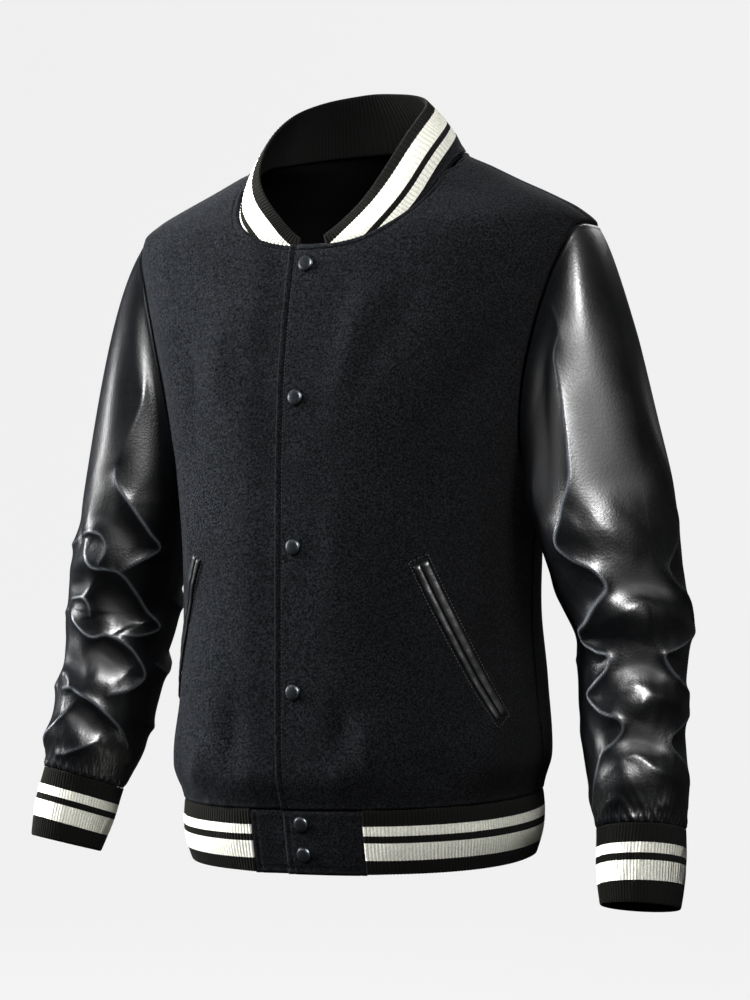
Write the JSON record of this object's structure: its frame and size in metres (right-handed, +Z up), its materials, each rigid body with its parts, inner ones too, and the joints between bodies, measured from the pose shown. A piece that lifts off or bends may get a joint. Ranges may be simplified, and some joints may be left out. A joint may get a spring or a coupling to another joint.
{
  "type": "varsity jacket",
  "caption": "Dark wool varsity jacket with leather sleeves, striped rib-knit collar, cuffs and hem, a snap front and slanted welt pockets, shown as worn with no wearer.",
  "frame": {"origin": "the middle of the neck opening, level with the neck ends of the shoulder seams, where a wearer's shoulders or a hanger carry the jacket", "axes": "+Z up, the front faces -Y, +X towards the wearer's left"},
  "size_m": [0.6872, 0.2588, 0.7664],
  "materials": {
    "melton_wool": "matte",
    "sleeve_leather": "gloss",
    "rib_knit": "matte",
    "snap_metal": "satin",
    "rib_stripe": "matte",
    "sewing_thread": "satin",
    "body_lining": "satin"
  },
  "bodies": {
    "root": {"front_left": "melton_wool", "front_right": "melton_wool", "back": "melton_wool", "tab_left": "melton_wool", "tab_right": "melton_wool", "sleeve_left": "sleeve_leather", "sleeve_right": "sleeve_leather", "welt_front_left": "sleeve_leather", "welt_rear_left": "sleeve_leather", "welt_front_right": "sleeve_leather", "welt_rear_right": "sleeve_leather", "collar": "rib_knit", "cuff_left": "rib_knit", "cuff_right": "rib_knit", "hem_band": "rib_knit", "snap_1": "snap_metal", "snap_2": "snap_metal", "snap_3": "snap_metal", "snap_4": "snap_metal", "tab_snap_1": "snap_metal", "tab_snap_2": "snap_metal"}
  },
  "joints": []
}
